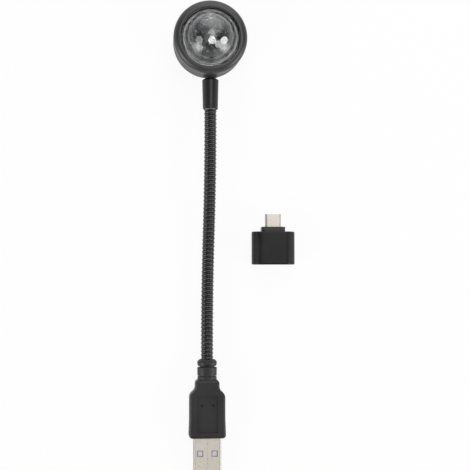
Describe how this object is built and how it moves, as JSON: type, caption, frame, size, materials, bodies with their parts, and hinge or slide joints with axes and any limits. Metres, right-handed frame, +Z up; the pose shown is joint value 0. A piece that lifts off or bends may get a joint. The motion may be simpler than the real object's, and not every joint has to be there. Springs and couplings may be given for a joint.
{
  "type": "star projector",
  "caption": "USB star projector: a round head with a clear faceted dome on a bendable ribbed gooseneck that ends in a USB-A plug, with a separate micro-USB adapter.",
  "frame": {"origin": "middle of the head's flat back, which lies on the table", "axes": "+Z up from the table, the way the dome looks; +Y along the neck from the plug to the head; +X to the right in the picture, towards the adapter"},
  "size_m": [0.0537, 0.2084, 0.0275],
  "materials": {
    "black_abs": "satin moulded ABS",
    "clear_acrylic": "clear, polished facets",
    "board_black": "black solder mask on glass fibre",
    "smoked_epoxy": "dark tinted cast epoxy",
    "tinned_steel": "zinc or tin plated",
    "mic_can": "drawn can",
    "chip_black": "matt moulded",
    "ferrule_black": "black satin over turned metal",
    "neck_black": "black lacquer over wound steel",
    "cable_black": "smooth PVC sheath",
    "wire_red": "smooth insulation",
    "wire_black": "smooth insulation",
    "cover_pvc": "matt moulded PVC",
    "plated_steel": "tin plated sheet",
    "tongue_white": "moulded insulator",
    "contact_gold": "gold flashed",
    "mould_white": "moulded polyethylene",
    "anchor_brass": "crimped ring",
    "adapter_black": "satin moulded case",
    "core_black": "matt moulded core",
    "board_green": "solder mask on glass fibre"
  },
  "bodies": {
    "plug": {"plug_cover": "cover_pvc", "usb_shell": "plated_steel", "usb_tongue": "tongue_white", "usb_contacts": "contact_gold", "inner_mould": "mould_white", "neck_anchor": "anchor_brass", "neck_tail": "neck_black", "plug_wires": "wire_black", "neck_cable": "cable_black"},
    "link_01": {"neck_link_01": "neck_black"},
    "link_02": {"neck_link_02": "neck_black"},
    "link_03": {"neck_link_03": "neck_black"},
    "link_04": {"neck_link_04": "neck_black"},
    "link_05": {"neck_link_05": "neck_black"},
    "link_06": {"neck_link_06": "neck_black"},
    "link_07": {"neck_link_07": "neck_black"},
    "link_08": {"neck_link_08": "neck_black"},
    "link_09": {"neck_link_09": "neck_black"},
    "link_10": {"neck_link_10": "neck_black"},
    "link_11": {"neck_link_11": "neck_black"},
    "link_12": {"neck_link_12": "neck_black"},
    "link_13": {"neck_link_13": "neck_black"},
    "link_14": {"neck_link_14": "neck_black"},
    "head": {"neck_top": "neck_black", "upper_ferrule": "ferrule_black", "neck_washer": "tinned_steel", "neck_nut": "tinned_steel", "rear_shell": "black_abs", "front_bezel": "black_abs", "facet_dome": "clear_acrylic", "lens_spacer": "mould_white", "led_board": "board_black", "led_red": "smoked_epoxy", "led_green": "smoked_epoxy", "led_blue": "smoked_epoxy", "led_leads": "tinned_steel", "microphone": "mic_can", "control_chip": "chip_black", "capacitor": "mic_can", "board_parts": "chip_black", "board_screws": "tinned_steel", "wire_red": "wire_red", "wire_black": "wire_black"},
    "adapter": {"adapter_case": "adapter_black", "adapter_core": "core_black", "micro_shell": "plated_steel", "micro_tongue": "core_black", "micro_contacts": "contact_gold", "micro_latches": "plated_steel", "socket_shell": "plated_steel", "socket_tongue": "tongue_white", "socket_contacts": "contact_gold", "adapter_board": "board_green"}
  },
  "joints": [
    {"name": "lift_1", "type": "hinge", "parent": "plug", "child": "link_01", "pos_m": [-0.00095, -0.13334, 0.0045], "axis": [1, 0, 0], "range_deg": [-18, 18], "deforming": ["neck_cable"]},
    {"name": "lift_2", "type": "hinge", "parent": "link_01", "child": "link_02", "pos_m": [-0.00092, -0.12296, 0.00457], "axis": [1, 0, 0], "range_deg": [-18, 18], "deforming": ["neck_cable"]},
    {"name": "lift_3", "type": "hinge", "parent": "link_02", "child": "link_03", "pos_m": [-0.00083, -0.11257, 0.00477], "axis": [1, 0, 0], "range_deg": [-18, 18], "deforming": ["neck_cable"]},
    {"name": "lift_4", "type": "hinge", "parent": "link_03", "child": "link_04", "pos_m": [-0.00067, -0.10219, 0.0051], "axis": [1, 0, 0], "range_deg": [-18, 18], "deforming": ["neck_cable"]},
    {"name": "lift_5", "type": "hinge", "parent": "link_04", "child": "link_05", "pos_m": [-0.00045, -0.09181, 0.00556], "axis": [1, 0, 0], "range_deg": [-18, 18], "deforming": ["neck_cable"]},
    {"name": "turn_1", "type": "hinge", "parent": "link_05", "child": "link_06", "pos_m": [-0.00018, -0.08144, 0.00615], "axis": [0, 0, 1], "range_deg": [-18, 18], "deforming": ["neck_cable"]},
    {"name": "nod_1", "type": "hinge", "parent": "link_06", "child": "link_07", "pos_m": [-0.00005, -0.07626, 0.00644], "axis": [1, 0, 0], "range_deg": [-18, 18], "deforming": ["neck_cable"]},
    {"name": "turn_2", "type": "hinge", "parent": "link_07", "child": "link_08", "pos_m": [0.00007, -0.07107, 0.00669], "axis": [0, 0, 1], "range_deg": [-18, 18], "deforming": ["neck_cable"]},
    {"name": "nod_2", "type": "hinge", "parent": "link_08", "child": "link_09", "pos_m": [0.00017, -0.06588, 0.0069], "axis": [1, 0, 0], "range_deg": [-18, 18], "deforming": ["neck_cable"]},
    {"name": "turn_3", "type": "hinge", "parent": "link_09", "child": "link_10", "pos_m": [0.00026, -0.06069, 0.00708], "axis": [0, 0, 1], "range_deg": [-18, 18], "deforming": ["neck_cable"]},
    {"name": "nod_3", "type": "hinge", "parent": "link_10", "child": "link_11", "pos_m": [0.00033, -0.0555, 0.00723], "axis": [1, 0, 0], "range_deg": [-18, 18], "deforming": ["neck_cable"]},
    {"name": "turn_4", "type": "hinge", "parent": "link_11", "child": "link_12", "pos_m": [0.00038, -0.05031, 0.00735], "axis": [0, 0, 1], "range_deg": [-18, 18], "deforming": ["neck_cable"]},
    {"name": "nod_4", "type": "hinge", "parent": "link_12", "child": "link_13", "pos_m": [0.00042, -0.04511, 0.00743], "axis": [1, 0, 0], "range_deg": [-18, 18], "deforming": ["neck_cable"]},
    {"name": "turn_5", "type": "hinge", "parent": "link_13", "child": "link_14", "pos_m": [0.00044, -0.03992, 0.00748], "axis": [0, 0, 1], "range_deg": [-18, 18], "deforming": ["neck_cable"]},
    {"name": "nod_5", "type": "hinge", "parent": "link_14", "child": "head", "pos_m": [0.00045, -0.03473, 0.0075], "axis": [1, 0, 0], "range_deg": [-18, 18], "deforming": ["neck_cable"]},
    {"name": "adapter_away", "type": "slide", "parent": "plug", "child": "adapter", "axis": [1, 0, 0], "range_m": [0, 0.03]}
  ],
  "couplings": [
    {"joint": "lift_2", "follows": "lift_1", "ratio": 1},
    {"joint": "lift_3", "follows": "lift_1", "ratio": 1},
    {"joint": "lift_4", "follows": "lift_1", "ratio": 1},
    {"joint": "lift_5", "follows": "lift_1", "ratio": 1},
    {"joint": "turn_2", "follows": "turn_1", "ratio": 1},
    {"joint": "nod_2", "follows": "nod_1", "ratio": 1},
    {"joint": "turn_3", "follows": "turn_1", "ratio": 1},
    {"joint": "nod_3", "follows": "nod_1", "ratio": 1},
    {"joint": "turn_4", "follows": "turn_1", "ratio": 1},
    {"joint": "nod_4", "follows": "nod_1", "ratio": 1},
    {"joint": "turn_5", "follows": "turn_1", "ratio": 1},
    {"joint": "nod_5", "follows": "nod_1", "ratio": 1}
  ]
}
